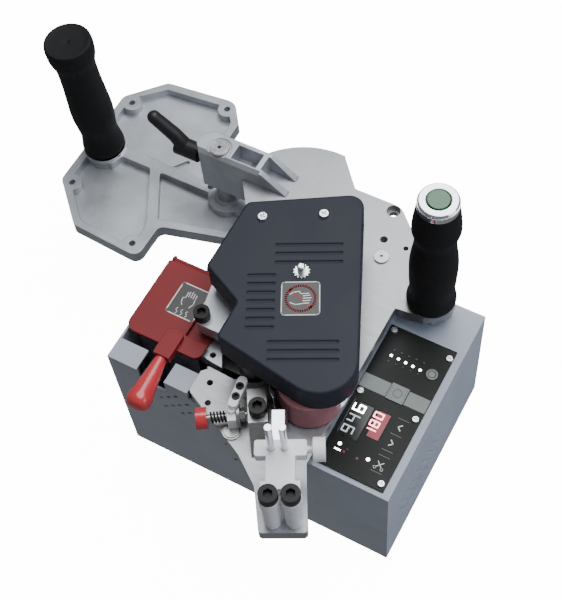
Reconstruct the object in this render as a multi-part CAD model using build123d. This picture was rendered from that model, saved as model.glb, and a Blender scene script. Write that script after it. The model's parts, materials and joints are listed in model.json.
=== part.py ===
from build123d import *
import os
from math import atan2, cos, degrees, hypot, pi, radians, sin

# Portable edge banding machine: a sheet-metal housing with a stepped control box, an aluminium deck
# that carries the drive, the tape guide and the glue pot, and a side table on a clamped post.
# Millimetres, +Z up. Plan positions are measured from the housing's front left corner, X along the
# front and Y to the back. Every piece is then moved so that the origin is the middle of the base.

# ---- driving dimensions -------------------------------------------------------------------------
HOUSING_WIDTH = 235.0
HOUSING_DEPTH = 170.0
SHEET = 2.0                 # sheet-metal wall
CONTROL_WIDTH = 62.0        # control box, at the right of the housing
DECK_TOP = 144.0            # working face of the deck
CONTROL_HEIGHT = DECK_TOP - 23.0        # top of the control box
DECK_THICK = 11.0
NOTCH_WIDTH = 28.0          # missing left rear corner of the housing
NOTCH_DEPTH = 70.0

FIT = 0.05                  # radial running clearance of shafts and pins
GAP = 0.3                   # clearance between separate pieces

DRUM_R = 22.3
DRUM_BASE = DECK_TOP + 1.5
DRUM_TOP = DRUM_BASE + 30.0
SHAFT_R = 5.0
GEAR_MODULE = 1.5
GEAR_WIDTH = 8.0
DRUM_TEETH = 18
IDLER_TEETH = 28
PINION_TEETH = 16
ROLLER_TEETH = 14
ROLLER_R = 12.0

PLATE_BASE = DRUM_TOP + 1.5             # gear plate under the cover
PLATE_THICK = 3.0
GEAR_BASE = PLATE_BASE + PLATE_THICK + 2.0
COVER_BASE = PLATE_BASE - 1.0
COVER_TOP = COVER_BASE + 24.0
COVER_WALL = 2.5

POST_R = 8.0
ARM_TOP = DECK_TOP + 17.0
ARM_BLOCK_BASE = DECK_TOP - 30.0
TABLE_TOP = ARM_BLOCK_BASE - 20.0
TABLE_THICK = 12.0
TABLE_FLOOR = 4.0           # floor left under the pockets
TABLE_HOLE_R = 2.75

GRIP_R = 17.5               # grips at their thickest part for the palm
LEFT_GRIP_LENGTH = 133.0
RIGHT_GRIP_LENGTH = 122.0
BUTTON_R = 7.8
BUTTON_TRAVEL = 4.0
KEY_TRAVEL = 1.0

POT_BASE = DECK_TOP - 84.0
POT_WALL = 4.0
HEATER_THICK = 8.0

MOTOR_R = 28.0
MOTOR_LENGTH = 72.0
GEARBOX_SIZE = 60.0
GEARBOX_HEIGHT = 38.0

# ---- places in plan -----------------------------------------------------------------------------
CONTROL_LEFT = HOUSING_WIDTH - CONTROL_WIDTH
DRUM_AT = (154.5, 35.5)
ROLLER_AT = (103.6, 43.0)
RIGHT_GRIP_AT = (CONTROL_LEFT + 23.0, 152.5)
LEFT_GRIP_AT = (-137.0, 194.5)
POST_AT = (-13.0, 196.0)
THUMB_SCREW_AT = (115.0, 101.5)
COVER_SCREWS_AT = [(67.0, 130.0), (106.8, 152.2)]
RIGHT_PILLAR_AT = (159.0, 77.0)
TABLE_HOLES_AT = [(-142.0, 247.0), (-60.7, 278.0), (-142.5, 149.0), (-61.5, 118.5)]
TABLE_INNER_HOLE_AT = (-31.0, 198.0)
DECK_BOLT_AT = (135.0, 213.0)
DECK_HOLES_AT = [(140.0, 185.5, 3.0), (159.0, 185.5, 2.0)]
FLAP_HOLES_AT = [(81.0, 15.5), (88.0, 0.5)]

DECK_BASE = DECK_TOP - DECK_THICK
TABLE_BASE = TABLE_TOP - TABLE_THICK
PILLARS_AT = COVER_SCREWS_AT + [THUMB_SCREW_AT, RIGHT_PILLAR_AT]


# ---- small builders -----------------------------------------------------------------------------
def block(x0, x1, y0, y1, z0, z1):
    """A box between two corners."""
    return Pos((x0 + x1) / 2, (y0 + y1) / 2, (z0 + z1) / 2) * Box(x1 - x0, y1 - y0, z1 - z0)


def rod(at, z0, z1, r):
    """An upright cylinder over a plan point."""
    return Pos(at[0], at[1], (z0 + z1) / 2) * Cylinder(r, z1 - z0)


def tube(at, z0, z1, outer, inner):
    return rod(at, z0, z1, outer) - rod(at, z0, z1, inner)


def prism(points, z0, z1, radii=0.0):
    """An upright prism on a plan outline, with one radius or one for each corner."""
    outline = FilletPolyline(*points, radius=radii, close=True)
    return Pos(0, 0, z0) * extrude(make_face(outline), z1 - z0)


def lathe(at, profile):
    """A turned piece on an upright axis, from (radius, height) points."""
    face = make_face(Polyline(*[(r, 0, z) for r, z in profile], close=True))
    return Pos(at[0], at[1], 0) * revolve(face, Axis.Z)


def hexagon(at, z0, z1, across_flats):
    plan = RegularPolygon(across_flats / 2, 6, major_radius=False)
    return Pos(at[0], at[1], z0) * extrude(plan, z1 - z0)


def turned_to(at, z, angle):
    """A place at height z whose own X points along a plan angle."""
    return Pos(at[0], at[1], z) * Rot(0, 0, angle)


def along_x(x0, x1, r):
    """A cylinder along X."""
    return Pos((x0 + x1) / 2, 0, 0) * Rot(0, 90, 0) * Cylinder(r, x1 - x0)


def save(name, *solids):
    """Write one node, with the origin moved to the middle of the base."""
    move = Pos(-HOUSING_WIDTH / 2, -HOUSING_DEPTH / 2, 0)
    pieces = [move * piece for solid in solids for piece in solid.solids()]
    export_step(Compound(children=pieces), f"parts/{name}.step")


def socket_screw(at, seat, head_r, shank_r, shank):
    """A cap screw whose head sits on the height `seat`, with a hexagon socket."""
    head_height = 1.1 * shank_r * 2 * 0.9
    screw = rod(at, seat, seat + head_height, head_r) + rod(at, seat - shank, seat, shank_r)
    return screw - hexagon(at, seat + head_height / 2, seat + head_height + 1, shank_r * 1.5)


def pan_screw(at, seat, head_r, head_height, shank_r, shank):
    """A pan-head screw with a cross recess."""
    top = seat + head_height
    head = lathe(at, [(0, seat), (head_r, seat), (head_r * 0.8, top), (0, top)])
    screw = head + rod(at, seat - shank, seat, shank_r)
    arm = head_r * 0.55
    slot = head_r * 0.11
    low = top - head_height / 2
    cross = block(-arm, arm, -slot, slot, low, top + 1) + block(-slot, slot, -arm, arm, low, top + 1)
    return screw - Pos(at[0], at[1], 0) * cross


# ---- gears --------------------------------------------------------------------------------------
def pitch_radius(teeth):
    return GEAR_MODULE * teeth / 2


def direction(start, end):
    return degrees(atan2(end[1] - start[1], end[0] - start[0]))


def gear_places():
    """The roller gear meets the motor pinion, which meets the idler, which meets the drum gear."""
    reach = pitch_radius(PINION_TEETH) + pitch_radius(ROLLER_TEETH)
    lean = radians(96.8)
    pinion = (ROLLER_AT[0] + reach * cos(lean), ROLLER_AT[1] + reach * sin(lean))
    to_pinion = pitch_radius(PINION_TEETH) + pitch_radius(IDLER_TEETH)
    to_drum = pitch_radius(IDLER_TEETH) + pitch_radius(DRUM_TEETH)
    span = hypot(DRUM_AT[0] - pinion[0], DRUM_AT[1] - pinion[1])
    foot = (span ** 2 + to_pinion ** 2 - to_drum ** 2) / (2 * span)
    rise = (to_pinion ** 2 - foot ** 2) ** 0.5
    ux = (DRUM_AT[0] - pinion[0]) / span
    uy = (DRUM_AT[1] - pinion[1]) / span
    idler = (pinion[0] + foot * ux - rise * uy, pinion[1] + foot * uy + rise * ux)
    return pinion, idler


def meshed_phase(phase, teeth, next_teeth, towards):
    """Tooth angle of the next gear, so that its gap faces a tooth of this one. Degrees."""
    return towards + 180 - (teeth * (phase - towards) + 180) / next_teeth


def spur_gear(at, teeth, phase):
    """Straight teeth with a tooth centred on the angle `phase`, and play at the pitch line."""
    root = pitch_radius(teeth) - 1.25 * GEAR_MODULE
    tip = pitch_radius(teeth) + 0.85 * GEAR_MODULE
    step = 360 / teeth
    points = []
    for tooth in range(teeth):
        for radius, share in ((root, -0.29), (tip, -0.1), (tip, 0.1), (root, 0.29)):
            angle = radians(phase + (tooth + share) * step)
            points.append((radius * cos(angle), radius * sin(angle)))
    plan = make_face(Polyline(*points, close=True))
    return Pos(at[0], at[1], GEAR_BASE) * extrude(plan, GEAR_WIDTH)


PINION_AT, IDLER_AT = gear_places()


# ---- housing ------------------------------------------------------------------------------------
def housing_outline(inset):
    """The floor plan of the housing, with its left rear corner missing."""
    left = inset
    right = HOUSING_WIDTH - inset
    front = inset
    back = HOUSING_DEPTH - inset
    step_y = HOUSING_DEPTH - NOTCH_DEPTH - inset
    step_x = NOTCH_WIDTH + inset
    return [(left, front), (right, front), (right, back), (step_x, back), (step_x, step_y), (left, step_y)]


def base_plate():
    return prism(housing_outline(0), 0, SHEET)


LEVER_SLOT = (26.0, 50.0)   # gap in the front flap for the lid's handle
FLAP_DEPTH = 18.0
FLAP_END = 70.0
VENT_STEP = 7.3
# the vents rise to the right in slanted rows: first X, depth below the deck and count
VENT_ROWS = [(43.5, 31, 3), (45.2, 44, 4), (60.4, 43, 3), (97.3, 63, 1), (102.8, 87, 1)]


def front_panel():
    """One folded sheet: the front with its step, its top flaps, the handle gap and the vents."""
    panel = block(0, CONTROL_LEFT, 0, SHEET, SHEET, DECK_BASE)
    panel = panel + block(CONTROL_LEFT, HOUSING_WIDTH, 0, SHEET, SHEET, CONTROL_HEIGHT - SHEET)
    panel = panel + block(0, FLAP_END, 0, SHEET, DECK_BASE, DECK_TOP)
    panel = panel + block(0, FLAP_END, 0, FLAP_DEPTH, DECK_TOP - SHEET, DECK_TOP)
    panel = panel - block(LEVER_SLOT[0], LEVER_SLOT[1], -1, FLAP_DEPTH + 1, DECK_TOP - 16, DECK_TOP + 1)
    for x, drop, count in VENT_ROWS:
        for step in range(count):
            at = (x + VENT_STEP * step, SHEET / 2, DECK_TOP - drop + VENT_STEP * step)
            panel = panel - Pos(*at) * Rot(0, -45, 0) * Box(5, SHEET * 2, 2.2)
    return panel


def left_panel():
    """Left side, cut down by one sheet below the front flap."""
    panel = block(0, SHEET, SHEET, HOUSING_DEPTH - NOTCH_DEPTH, SHEET, DECK_TOP)
    return panel - block(-1, SHEET + 1, 0, FLAP_DEPTH + GAP, DECK_TOP - SHEET, DECK_TOP + 1)


def rear_corner_panel():
    """The folded sheet that closes the missing corner."""
    step_y = HOUSING_DEPTH - NOTCH_DEPTH
    panel = block(SHEET, NOTCH_WIDTH + SHEET, step_y - SHEET, step_y, SHEET, DECK_BASE)
    return panel + block(NOTCH_WIDTH, NOTCH_WIDTH + SHEET, step_y, HOUSING_DEPTH - SHEET, SHEET, DECK_BASE)


INLET_AT = (CONTROL_LEFT + CONTROL_WIDTH / 2, 40.0)     # X and Z of the mains inlet
INLET_SIZE = (27.0, 20.0)


def back_panel():
    back = HOUSING_DEPTH
    panel = block(NOTCH_WIDTH, CONTROL_LEFT, back - SHEET, back, SHEET, DECK_BASE)
    panel = panel + block(CONTROL_LEFT, HOUSING_WIDTH, back - SHEET, back, SHEET, CONTROL_HEIGHT - SHEET)
    half_x = INLET_SIZE[0] / 2 + GAP / 2
    half_z = INLET_SIZE[1] / 2 + GAP / 2
    return panel - block(INLET_AT[0] - half_x, INLET_AT[0] + half_x, back - SHEET - 1, back + 1,
                         INLET_AT[1] - half_z, INLET_AT[1] + half_z)


def mains_inlet():
    """A three-pin appliance inlet with its rim on the back panel."""
    x, z = INLET_AT
    half_x = INLET_SIZE[0] / 2
    half_z = INLET_SIZE[1] / 2
    back = HOUSING_DEPTH
    body = block(x - half_x, x + half_x, back - 22, back, z - half_z, z + half_z)
    body = body + block(x - half_x - 4, x + half_x + 4, back, back + 3, z - half_z - 2.5, z + half_z + 2.5)
    body = body - block(x - half_x + 2, x + half_x - 2, back - 14, back + 4, z - half_z + 2, z + half_z - 2)
    for dx in (-7, 0, 7):
        body = body + block(x + dx - 1.5, x + dx + 1.5, back - 15, back - 2, z - 3, z + 3)
    return body


def partition_panel():
    """The wall between the hot side and the electronics, which also closes the step below the deck."""
    return block(CONTROL_LEFT - SHEET, CONTROL_LEFT, SHEET, HOUSING_DEPTH - SHEET, SHEET, DECK_BASE)


PANEL_INSET = 1.0           # control panel from the box's left edge
PANEL_RIGHT = 6.0           # and from its right edge
PANEL_FRONT = 4.0
PANEL_BACK = 131.0
PANEL_THICK = 1.6
RIGHT_KEYS = CONTROL_WIDTH - 15.0       # X of the keys at the right, from the box's left edge
PANEL_SCREWS_AT = [(5, 127), (RIGHT_KEYS + 6, 123), (5, 69), (RIGHT_KEYS + 5, 66), (RIGHT_KEYS + 5, 9)]
DISPLAYS = [(9, 21, 31, 61), (25, 35, 38, 61)]                          # x0, x1, y0, y1 in the box
STRIP_KEY = (24, 38, 72, 86)
POWER_KEY_AT = (RIGHT_KEYS, 105)
POWER_KEY_R = 4.5
OPENING = (8, 42, 24, 92)   # cut-out of the box's top, below the panel


def control_box_cover():
    """The top and the perforated right side of the control box, in one folded sheet."""
    left = CONTROL_LEFT
    right = HOUSING_WIDTH
    cover = block(left, right, 0, HOUSING_DEPTH, CONTROL_HEIGHT - SHEET, CONTROL_HEIGHT)
    cover = cover + block(right - SHEET, right, SHEET, HOUSING_DEPTH - SHEET, SHEET, CONTROL_HEIGHT - SHEET)
    x0, x1, y0, y1 = OPENING
    cover = cover - block(left + x0, left + x1, y0, y1, CONTROL_HEIGHT - SHEET - 1, CONTROL_HEIGHT + 1)
    power_at = (left + POWER_KEY_AT[0], POWER_KEY_AT[1])
    cover = cover - rod(power_at, CONTROL_HEIGHT - SHEET - 1, CONTROL_HEIGHT + 1, POWER_KEY_R + 1)
    for x, y in PANEL_SCREWS_AT:
        cover = cover - rod((left + x, y), CONTROL_HEIGHT - SHEET - 1, CONTROL_HEIGHT + 1, 1.6)
    for row in range(6):
        for column in range(8):
            at = Pos(right - SHEET / 2, 20 + 9 * column + 4.5 * (row % 2), 26 + 8 * row)
            cover = cover - at * Rot(0, 90, 0) * Cylinder(1.75, SHEET * 2)
    return cover


def panel_plate():
    left = CONTROL_LEFT
    top = CONTROL_HEIGHT + PANEL_THICK
    right = HOUSING_WIDTH - PANEL_RIGHT
    plate = block(left + PANEL_INSET, right, PANEL_FRONT, PANEL_BACK, CONTROL_HEIGHT, top)
    low = CONTROL_HEIGHT - 1
    for x0, x1, y0, y1 in DISPLAYS + [STRIP_KEY]:
        plate = plate - block(left + x0 - GAP, left + x1 + GAP, y0 - GAP, y1 + GAP, low, top + 1)
    power_at = (left + POWER_KEY_AT[0], POWER_KEY_AT[1])
    plate = plate - rod(power_at, low, top + 1, POWER_KEY_R + GAP)
    for x, y in PANEL_SCREWS_AT:
        plate = plate - rod((left + x, y), low, top + 1, 1.6)
    return plate


BOARD_TOP = CONTROL_HEIGHT - 11.0


def control_board():
    """Circuit board hung from the box's top by four spacers."""
    left = CONTROL_LEFT + 4
    right = HOUSING_WIDTH - 5
    board = block(left, right, 8, 127, BOARD_TOP - SHEET, BOARD_TOP)
    for x in (left + 3.5, right - 3.5):
        for y in (14, 114):
            board = board + rod((x, y), BOARD_TOP, CONTROL_HEIGHT - SHEET, 2.5)
    middle = CONTROL_LEFT + CONTROL_WIDTH / 2
    low = BOARD_TOP - SHEET
    for dx, y, size in ((-6, 100, 9), (-16, 68, 7), (12, 46, 6), (12, 80, 5)):
        x = middle + dx
        board = board + block(x - size, x + size, y - size, y + size, low - 12, low)
    return board


def displays():
    left = CONTROL_LEFT
    top = CONTROL_HEIGHT + PANEL_THICK
    return [block(left + x0, left + x1, y0, y1, BOARD_TOP, top) for x0, x1, y0, y1 in DISPLAYS]


def strip_key():
    x0, x1, y0, y1 = STRIP_KEY
    left = CONTROL_LEFT
    return block(left + x0, left + x1, y0, y1, BOARD_TOP + KEY_TRAVEL + GAP, CONTROL_HEIGHT + PANEL_THICK + 1)


def power_key():
    at = (CONTROL_LEFT + POWER_KEY_AT[0], POWER_KEY_AT[1])
    return rod(at, BOARD_TOP + KEY_TRAVEL + GAP, CONTROL_HEIGHT + PANEL_THICK + 1, POWER_KEY_R)


# ---- deck ---------------------------------------------------------------------------------------
BACK_ARC_AT = (70.7, 176.0)
BACK_ARC_R = 68.7
ROLLER_WELL_R = 14.5


def main_deck():
    """Machined plate: rounded back, an ear for the right grip and a tongue for the tape guide."""
    right = CONTROL_LEFT + 2
    outline = [
        (NOTCH_WIDTH, 164), (12.2, 186), (12.2, 212), (76, 244), (98, 219), (139, 219), (160, 199),
        (177, 160), (right, 128), (right, -9), (200, -54), (169.5, -70), (150, -41), (128, -25),
        (72, 2), (FLAP_END, 4), (FLAP_END, 21), (74, 25), (66, 30), (68, 50), (68, 100), (NOTCH_WIDTH, 100),
    ]
    radii = [2, 1, 1, 1, 2, 14, 6, 1, 1, 2, 3, 3, 12, 20, 1, 1, 1, 0.5, 0.5, 1, 1, 1]
    deck = prism(outline, DECK_BASE, DECK_TOP, radii)
    arc = rod(BACK_ARC_AT, DECK_BASE, DECK_TOP, BACK_ARC_R)
    deck = deck + (arc & block(12.2, 76, 200, 260, DECK_BASE, DECK_TOP))
    ear = [(-28, -20), (1, -16.5), (18.5, -2), (16, 13), (2, 19), (-32, 19)]
    deck = deck + Pos(*RIGHT_GRIP_AT) * prism(ear, DECK_BASE, DECK_TOP, [1, 2, 4, 8, 8, 1])
    low = DECK_BASE - 1
    high = DECK_TOP + 1
    slot = prism([(64, 24), (75, 27), (96, 26), (104, 32), (100, 56), (64, 56)], low, high, 0.5)
    deck = deck - (slot + rod(ROLLER_AT, low, high, ROLLER_WELL_R))
    deck = deck - rod(DRUM_AT, low, high, SHAFT_R + 4) - rod(IDLER_AT, low, high, SHAFT_R + 4)
    deck = deck - rod(PINION_AT, low, high, SHAFT_R + 1.5)
    deck = deck - rod(RIGHT_GRIP_AT, low, high, 6 + FIT)
    deck = deck - rod(DECK_BOLT_AT, low, high, 3.3) - rod(DECK_BOLT_AT, DECK_TOP - 6, high, 5.5)
    for x, y, r in DECK_HOLES_AT:
        deck = deck - rod((x, y), low, high, r)
    for at in FLAP_HOLES_AT:
        deck = deck - rod(at, low, high, 2.3)
    for at in GEARBOX_SCREWS_AT:
        deck = deck - rod(at, low, high, 2.5 + FIT)
    return deck


def deck_pin():
    """The round shoulder screw in the deck's right rear corner."""
    return lathe((145.5, 170), [(1.2, DECK_TOP), (6, DECK_TOP), (6, DECK_TOP + 1.5), (1.2, DECK_TOP + 1.5)])


# ---- drive --------------------------------------------------------------------------------------
GEARBOX_SCREWS_AT = [(PINION_AT[0] + dx, PINION_AT[1] + dy) for dx, dy in ((-24, 24), (24, 24), (24, -20))]


def gear_motor():
    """Motor and square gearbox, hung below the deck around the pinion's axis."""
    half = GEARBOX_SIZE / 2
    x, y = PINION_AT
    low = DECK_BASE - GEARBOX_HEIGHT
    case = block(x - half, x + half, y - half, y + half, low, DECK_BASE)
    case = case + rod(PINION_AT, low - MOTOR_LENGTH, low, MOTOR_R)
    case = case - rod(PINION_AT, low + 8, DECK_BASE + 1, SHAFT_R + FIT)
    for at in GEARBOX_SCREWS_AT:
        case = case - rod(at, DECK_BASE - 8, DECK_BASE + 1, 2.5 + FIT)
    return case


def gearbox_screws():
    return [socket_screw(at, DECK_TOP, 4.3, 2.5, DECK_THICK + 7) for at in GEARBOX_SCREWS_AT]


def bearings():
    """Flanged bushes in the deck and in the gear plate."""
    bushes = []
    for at in (DRUM_AT, IDLER_AT):
        bushes.append(tube(at, DECK_BASE, DECK_TOP, SHAFT_R + 4, SHAFT_R + FIT))
    for at in (DRUM_AT, IDLER_AT, PINION_AT, ROLLER_AT):
        bushes.append(tube(at, PLATE_BASE, PLATE_BASE + PLATE_THICK, SHAFT_R + 3, SHAFT_R + FIT))
    return bushes


def cover_outline(inset):
    """Corners of the cover in plan, moved in by a wall: a slanted box with a rounded front end."""
    corners = [(49.5, 138), (124.8, 182.7), (205.7, 9.8), (86, 27.5), (85.4, 58.5), (50, 75.5)]
    radii = [6, 11, 27.7, 4, 4, 4]
    face = make_face(FilletPolyline(*corners, radius=radii, close=True))
    if inset:
        face = offset(face, -inset)
    return face


def cover_prism(inset, z0, z1):
    return Pos(0, 0, z0) * extrude(cover_outline(inset), z1 - z0)


def gear_plate():
    plate = cover_prism(COVER_WALL + GAP, PLATE_BASE, PLATE_BASE + PLATE_THICK)
    for at in (DRUM_AT, IDLER_AT, PINION_AT, ROLLER_AT):
        plate = plate - rod(at, PLATE_BASE - 1, PLATE_BASE + PLATE_THICK + 1, SHAFT_R + 3)
    for at in PILLARS_AT:
        plate = plate - rod(at, PLATE_BASE - 1, PLATE_BASE + PLATE_THICK + 1, 3.5 + FIT)
    return plate


def pillars():
    """Stepped pillars: the gear plate sits on the shoulder and the cover on the end."""
    cover_inside = COVER_TOP - COVER_WALL
    turned = []
    for at in PILLARS_AT:
        pillar = rod(at, DECK_TOP, PLATE_BASE, 4.5) + rod(at, PLATE_BASE, cover_inside, 3.5)
        if at != RIGHT_PILLAR_AT:
            pillar = pillar - rod(at, cover_inside - 12, cover_inside + 1, 2 + FIT)
        turned.append(pillar)
    return turned


VENT_GROUPS = [             # first line's middle, line length, count, step across the lines
    ((109, 124.5), 49, 3, 7.5),
    ((90.4, 86), 20, 7, 7.2),
    ((143, 51), 50, 3, 7.1),
]
COVER_ANGLE = 27.0
VENT_WIDTH = 2.0


def top_cover():
    cover = cover_prism(0, COVER_BASE, COVER_TOP)
    cover = chamfer(cover.faces().sort_by(Axis.Z)[-1].edges(), 1.2)
    cover = cover - cover_prism(COVER_WALL, COVER_BASE - 1, COVER_TOP - COVER_WALL)
    for middle, length, count, step in VENT_GROUPS:
        for line in range(count):
            place = turned_to(middle, COVER_TOP, COVER_ANGLE) * Pos(0, -line * step, 0)
            cover = cover - place * Box(length, VENT_WIDTH, 1.6)
    for at in COVER_SCREWS_AT + [THUMB_SCREW_AT]:
        cover = cover - rod(at, COVER_TOP - COVER_WALL - 1, COVER_TOP + 1, 2 + FIT)
    return cover


def cover_thumb_screw():
    """Slim thumb screw on a serrated washer."""
    at = THUMB_SCREW_AT
    screw = lathe(at, [(0, COVER_TOP), (5, COVER_TOP), (5, COVER_TOP + 1.2), (3, COVER_TOP + 1.2),
                       (3, COVER_TOP + 7), (2, COVER_TOP + 8), (0, COVER_TOP + 8)])
    return screw + rod(at, COVER_TOP - COVER_WALL - 9, COVER_TOP, 2)


def rotating_set():
    """The four geared pieces, in mesh: drum shaft, idler, motor pinion and glue roller."""
    drum_phase = direction(DRUM_AT, IDLER_AT)
    idler_phase = meshed_phase(drum_phase, DRUM_TEETH, IDLER_TEETH, drum_phase)
    to_pinion = direction(IDLER_AT, PINION_AT)
    pinion_phase = meshed_phase(idler_phase, IDLER_TEETH, PINION_TEETH, to_pinion)
    to_roller = direction(PINION_AT, ROLLER_AT)
    roller_phase = meshed_phase(pinion_phase, PINION_TEETH, ROLLER_TEETH, to_roller)
    shaft_top = GEAR_BASE + GEAR_WIDTH + 2
    drum_shaft = spur_gear(DRUM_AT, DRUM_TEETH, drum_phase) + rod(DRUM_AT, DECK_BASE, shaft_top, SHAFT_R)
    idler = spur_gear(IDLER_AT, IDLER_TEETH, idler_phase) + rod(IDLER_AT, DECK_BASE, shaft_top, SHAFT_R)
    pinion_low = DECK_BASE - GEARBOX_HEIGHT + 8 + GAP
    pinion = spur_gear(PINION_AT, PINION_TEETH, pinion_phase)
    pinion = pinion + rod(PINION_AT, pinion_low, shaft_top, SHAFT_R)
    roller = spur_gear(ROLLER_AT, ROLLER_TEETH, roller_phase)
    roller = roller + rod(ROLLER_AT, DECK_BASE + 4, shaft_top, SHAFT_R)
    roller = roller + rod(ROLLER_AT, DECK_TOP, PLATE_BASE - 2, ROLLER_R)
    return drum_shaft, idler, pinion, roller


def feed_drum():
    """Rubber-covered feed drum, pressed on the drum shaft."""
    drum = tube(DRUM_AT, DRUM_BASE, DRUM_TOP, DRUM_R, SHAFT_R)
    return chamfer(drum.edges().filter_by(GeomType.CIRCLE).group_by(SortBy.RADIUS)[-1], 0.8)


# ---- glue pot -----------------------------------------------------------------------------------
POT_FRONT = 32.0
POT_BACK = HOUSING_DEPTH - NOTCH_DEPTH - 6
POT = (6.0, 60.0, POT_FRONT, POT_BACK)
LID = (1.0, 66.0, 25.0, POT_BACK - 2)
LID_BASE = DECK_TOP + 2.9
LID_THICK = 3.2
LID_NOTCH = (46.6, 39.2, 80.0)          # left edge, front and back of the gap round the support block
HINGE_AT = (POT_BACK + 0.5, DECK_TOP + 4)       # Y and Z of the lid's hinge pin
HINGE_SPAN = (4.5, 61.5)
HINGE_R = 1.2


def pot_outlet():
    """The tank's spout at the glue roller: a flat corner with one hole, level with the deck."""
    spout = prism([(60, 33), (72, 31), (83, 30), (72, 50), (60, 50)], DECK_BASE + 1, DECK_TOP, 0.5)
    return spout - rod((71.5, 36.5), DECK_BASE, DECK_TOP + 1, 2.3)


def glue_pot():
    x0, x1, y0, y1 = POT
    tank = block(x0, x1, y0, y1, POT_BASE, DECK_TOP)
    wall = POT_WALL
    hollow = block(x0 + wall, x1 - wall, y0 + wall, y1 - wall, POT_BASE + wall, DECK_TOP + 1)
    return tank - hollow + pot_outlet()


def pot_heater():
    x0, x1, y0, y1 = POT
    return block(x0 + 2, x1 - 2, y0 + 2, y1 - 2, POT_BASE - HEATER_THICK, POT_BASE)


def pot_standoffs():
    x0, x1, y0, y1 = POT
    inset = 9
    low = SHEET
    high = POT_BASE - HEATER_THICK
    return [rod((x, y), low, high, 4) for x in (x0 + inset, x1 - inset) for y in (y0 + inset, y1 - inset)]


def pot_cover():
    """Fixed red plate over the pot, with the filling hole and the ears of the lid's hinge."""
    top = DECK_TOP + 2.5
    back = POT_BACK + 3
    plate = prism([(1.5, 27), (65, 27), (65, back), (1.5, back)], DECK_TOP, top, [5, 4, 3, 3])
    plate = plate - block(POT[0] + 6, LID_NOTCH[0] - 6, POT_FRONT + 6, POT_BACK - 10, DECK_TOP - 1, top + 1)
    y, z = HINGE_AT
    x0, x1 = HINGE_SPAN
    plate = plate - block(x0 - GAP, x1 + GAP, y - 2.3, y + 2.3, DECK_TOP - 1, top + 1)
    for x in (x0 - 2.2, x1 + GAP):
        ear = Pos(0, y, z) * along_x(x, x + 1.9, 2.1) + block(x, x + 1.9, y - 2.1, y + 2.1, top - 1, z)
        plate = plate + ear
    return plate - Pos(0, y, z) * along_x(x0 - 4, x1 + 4, HINGE_R + FIT)


def lid_hinge_pin():
    y, z = HINGE_AT
    return Pos(0, y, z) * along_x(HINGE_SPAN[0] - 2.2, HINGE_SPAN[1] + 2.2, HINGE_R)


NECK = (33.5, 47.5, 14.5, 39.0)         # left, right, front and back of the lid's neck
NECK_RISE = 4.5


def glue_lid():
    """Hinged lid with a gap round the support block and a raised neck that carries the handle."""
    x0, x1, y0, y1 = LID
    top = LID_BASE + LID_THICK
    lid = prism([(x0, y0), (x1, y0), (x1, y1), (x0, y1)], LID_BASE, top, [8, 6, 1, 2])
    left, front, back = LID_NOTCH
    lid = lid - block(left, x1 + 1, front, back, LID_BASE - 1, top + 1)
    n0, n1, n2, n3 = NECK
    neck = prism([(n0, n2), (n1, n2), (n1, n3), (n0, n3)], top, top + NECK_RISE, [1, 1, 5, 5])
    lid = lid + neck + prism([(n0, n2), (n1, n2), (n1, y0 + 2), (n0, y0 + 2)], LID_BASE, top, 0.5)
    y, z = HINGE_AT
    h0, h1 = HINGE_SPAN
    knuckle = Pos(0, y, z) * along_x(h0, h1, 2.0) + block(h0, h1, y1 - 1, y, z - 1, z + 1.5)
    return lid + knuckle - Pos(0, y, z) * along_x(x0 - 1, x1 + 1, HINGE_R + FIT)


def lid_handle():
    """Tapered handle with a rounded end, pushed on the neck's front."""
    profile = [(0, 0), (4.6, 0), (5.4, 6), (6.6, 16), (8.6, 28), (9.6, 35),
               (9.4, 39), (7.6, 42.5), (4.4, 44), (0, 44.4)]
    face = make_face(Polyline(*[(r, 0, h) for r, h in profile], close=True))
    skew = 5.0
    clear = profile[1][0] * sin(radians(skew)) + FIT
    place = Pos((NECK[0] + NECK[1]) / 2, NECK[2] - clear, LID_BASE + LID_THICK / 2 + 1.5)
    return place * Rot(0, 0, skew) * Rot(90, 0, 0) * revolve(face, Axis.Z)


SUPPORT_TOP = DECK_TOP + 21
SUPPORT_SCREW_AT = (55.9, 52.4)


def support_block():
    """Light block that reaches from the deck over the pot."""
    plan = [(48, 79), (55, 45.5), (82, 45.5), (82, 79)]
    over = prism(plan, DECK_TOP + 8, SUPPORT_TOP)
    foot = block(70, 82, 58, 79, DECK_TOP, DECK_TOP + 8)
    return over + foot - rod(SUPPORT_SCREW_AT, SUPPORT_TOP - 10, SUPPORT_TOP + 1, 4 + FIT)


# ---- tape guide on the tongue -------------------------------------------------------------------
TONGUE_AT = (164.0, -22.0)
TONGUE_ANGLE = -62.0
BRACKET_BASE = DECK_TOP + 35
BRACKET_TOP = BRACKET_BASE + 8
BRACKET_MIDDLE = (BRACKET_BASE + BRACKET_TOP) / 2
BRACKET_POST_R = 6.2
BRACKET_BOLTS_AT = [(36, -7.6), (36, 7.6)]      # along and across the tongue
TAPE_PINS_AT = [(0.1, -6.3), (0.1, 3.1)]
TAPE_PIN_R = 2.6
TAPE_PIN_TOP = BRACKET_TOP + 33
CROSSBAR = (-6.0, 6.0, -18.0, 18.0)


def on_tongue(shape):
    return turned_to(TONGUE_AT, 0, TONGUE_ANGLE) * shape


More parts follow.
